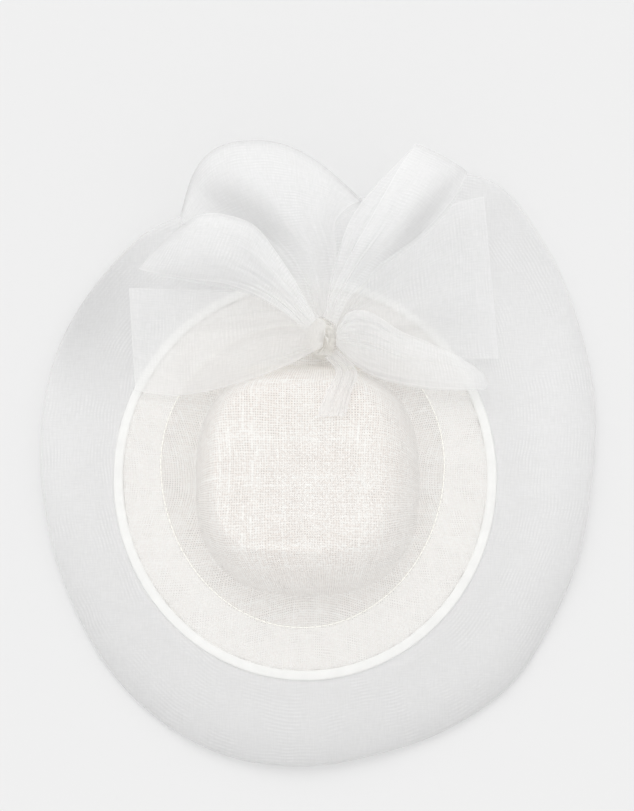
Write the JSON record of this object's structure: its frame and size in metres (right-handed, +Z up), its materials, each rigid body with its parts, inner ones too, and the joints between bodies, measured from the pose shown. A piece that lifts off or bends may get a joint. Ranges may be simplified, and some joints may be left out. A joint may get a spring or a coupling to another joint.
{
  "type": "wide-brimmed fascinator hat with bow",
  "caption": "Small blocked hat with a wide sheer brim and a ribbon bow at the back, worn perched on the head with a comb.",
  "frame": {"origin": "middle of the floor area that the hat covers, with the rim of the sheer brim resting on z = 0", "axes": "+Z up out of the crown's tip, +Y towards the bow at the back, +X to the right when seen from the front with the bow behind"},
  "size_m": [0.3362, 0.3702, 0.0857],
  "materials": {
    "sinamay": "matte open weave",
    "binding": "soft sheen",
    "organza": "sheer, soft sheen",
    "comb": "gloss"
  },
  "bodies": {
    "root": {"sinamay_base": "sinamay", "brim_binding": "binding", "sheer_brim": "organza", "knot": "organza", "loop_upper_left": "organza", "loop_left": "organza", "loop_upper_right": "organza", "loop_lower_right": "organza", "tail_left": "organza", "tail_right": "organza", "tail_small": "organza", "comb": "comb"}
  },
  "joints": []
}
